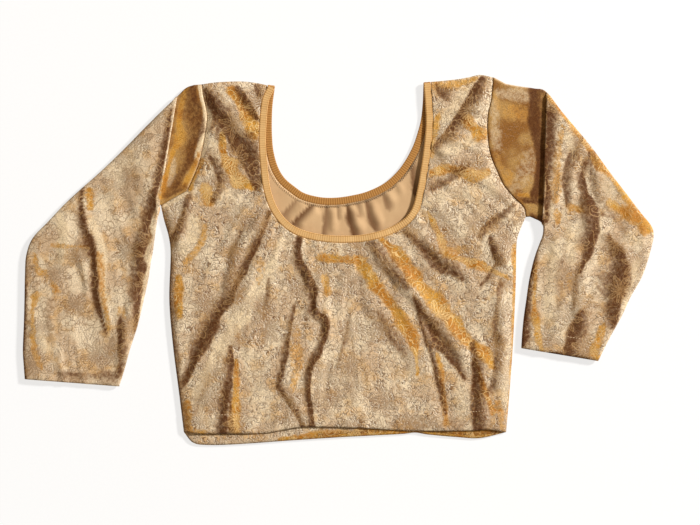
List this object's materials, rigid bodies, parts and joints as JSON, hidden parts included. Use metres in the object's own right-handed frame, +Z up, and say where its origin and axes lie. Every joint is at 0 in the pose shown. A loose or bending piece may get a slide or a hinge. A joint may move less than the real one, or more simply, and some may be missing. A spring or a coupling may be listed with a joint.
{
  "type": "choli blouse",
  "caption": "Choli blouse laid flat, front up: deep scoop neck with rib binding, three-quarter sleeves each folded over its cap, long soft folds and turned hems.",
  "frame": {"origin": "middle of the underside that the blouse rests on", "axes": "+X to the viewer's right (the wearer's left), +Y from hem to neck, +Z up from the table"},
  "size_m": [0.6614, 0.3884, 0.0096],
  "materials": {
    "velvet": "gold stretch velvet embossed with a small floral pattern",
    "binding": "gold rib knit binding"
  },
  "bodies": {
    "root": {"front_panel": "velvet", "back_panel": "velvet", "right_sleeve": "velvet", "left_sleeve": "velvet", "neck_binding": "binding"}
  },
  "joints": []
}
